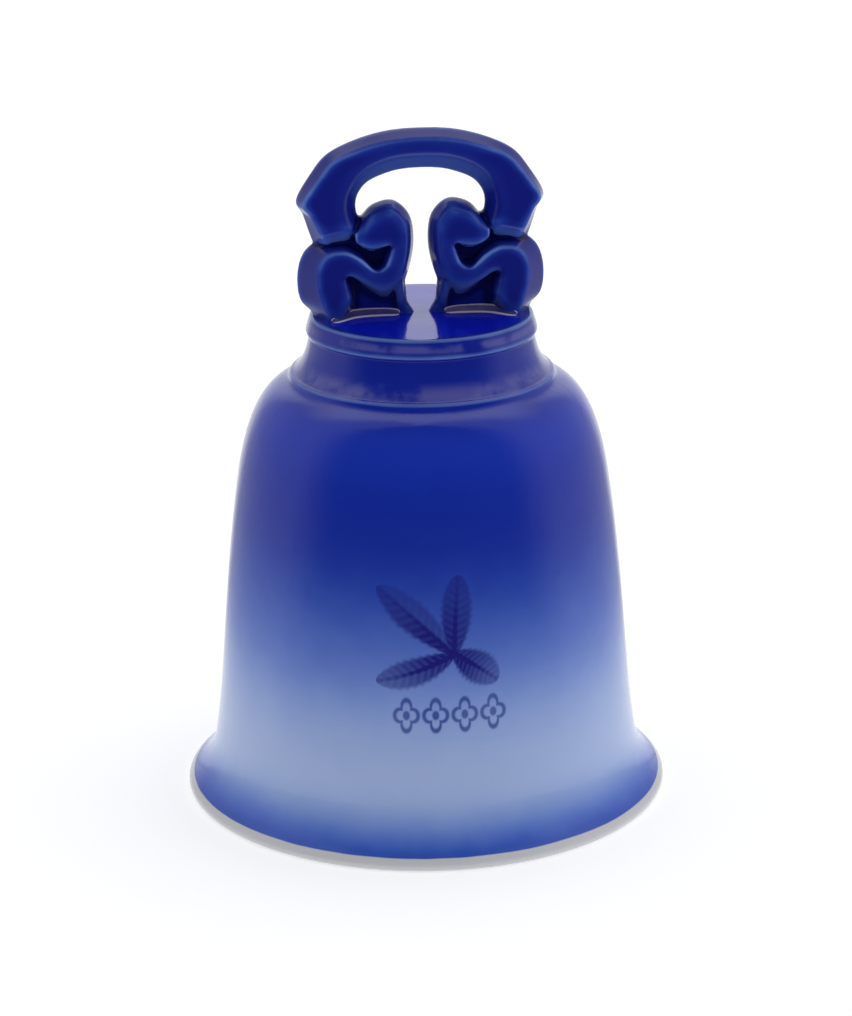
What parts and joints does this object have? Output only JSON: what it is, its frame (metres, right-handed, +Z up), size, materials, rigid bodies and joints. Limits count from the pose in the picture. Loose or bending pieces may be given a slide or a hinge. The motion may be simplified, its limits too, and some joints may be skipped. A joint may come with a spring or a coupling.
{
  "type": "porcelain bell",
  "caption": "Porcelain hand bell with a flared skirt, a scrolled openwork handle and a free-hanging porcelain clapper on a swivel.",
  "frame": {"origin": "centre of the foot's bottom edge, on the surface the bell stands on", "axes": "+Z up through the bell and its handle, -Y is the painted front, the handle lies in the XZ plane"},
  "size_m": [0.092, 0.092, 0.1276],
  "materials": {
    "blue_glaze": "gloss",
    "white_glaze": "gloss",
    "brass_wire": "satin"
  },
  "bodies": {
    "bell": {"bell_shell": "blue_glaze", "handle_arch": "blue_glaze", "scroll_left": "blue_glaze", "scroll_right": "blue_glaze", "web_left": "blue_glaze", "web_right": "blue_glaze", "slip_seam_left": "blue_glaze", "slip_seam_right": "blue_glaze", "hanger_staple": "white_glaze", "staple_slip": "white_glaze"},
    "swivel": {"swivel_eye": "brass_wire", "swivel_collar": "brass_wire"},
    "clapper": {"clapper_wire": "brass_wire", "clapper_collar": "brass_wire", "clapper_ball": "white_glaze", "clapper_stop": "brass_wire"}
  },
  "joints": [
    {"name": "swivel_turn", "type": "hinge", "parent": "bell", "child": "swivel", "pos_m": [0, 0, 0.0829], "axis": [0, 0, 1], "continuous": true},
    {"name": "clapper_swing", "type": "hinge", "parent": "swivel", "child": "clapper", "pos_m": [0, 0, 0.074], "axis": [1, 0, 0], "range_deg": [-30, 30]}
  ]
}
